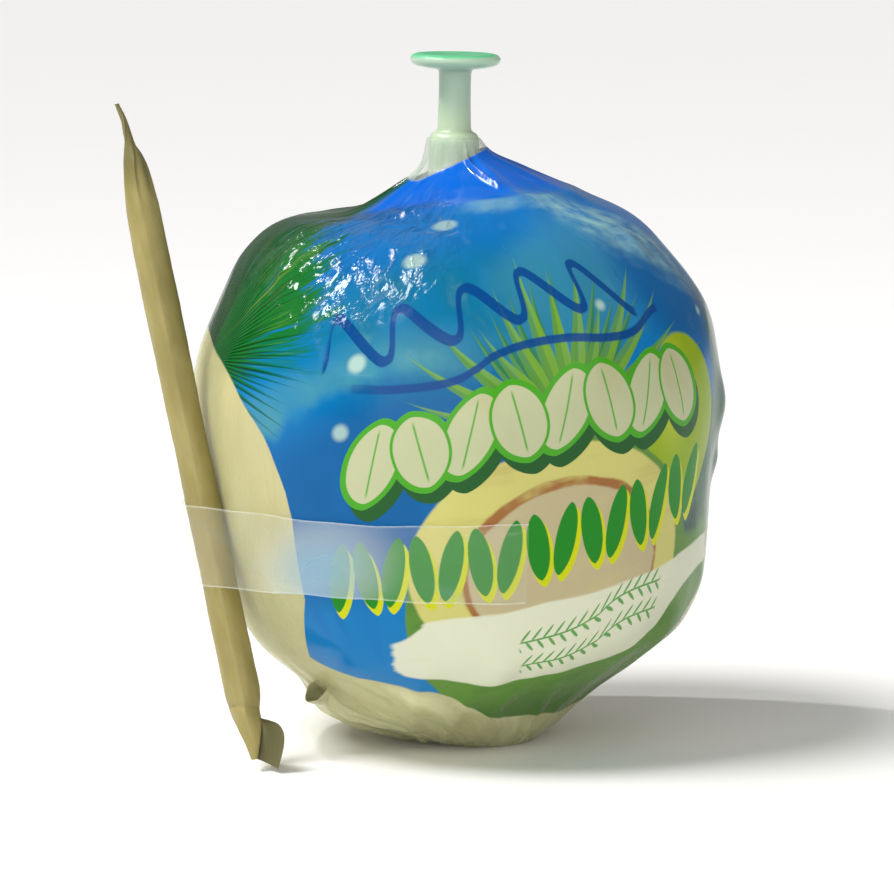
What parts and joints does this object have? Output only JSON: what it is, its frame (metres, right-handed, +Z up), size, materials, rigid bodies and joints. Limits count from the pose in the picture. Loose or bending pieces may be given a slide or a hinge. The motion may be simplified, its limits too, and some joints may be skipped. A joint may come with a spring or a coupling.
{
  "type": "young coconut",
  "caption": "Trimmed young coconut in a printed shrink film, with a T-shaped push opener on top and a paper-wrapped straw taped to its side.",
  "frame": {"origin": "on the small flat spot that the wrapped coconut stands on, near its middle", "axes": "+Z up through the opener, -Y out of the front of the print, -X towards the taped straw"},
  "size_m": [0.1494, 0.1276, 0.1722],
  "materials": {
    "husk": "trimmed cream coconut husk, fibrous and matt",
    "film": "glossy shrink film printed in blue and green, clear at one side and below",
    "opener_plastic": "pale green translucent moulded polyethylene",
    "straw_plastic": "plain extruded straw",
    "paper": "olive tan wrapper, softly creased",
    "tape": "clear adhesive tape, wrinkled"
  },
  "bodies": {
    "root": {"coconut": "husk", "shrink_film": "film", "opener": "opener_plastic", "drinking_straw": "straw_plastic", "straw_wrapper": "paper", "tape": "tape"}
  },
  "joints": []
}
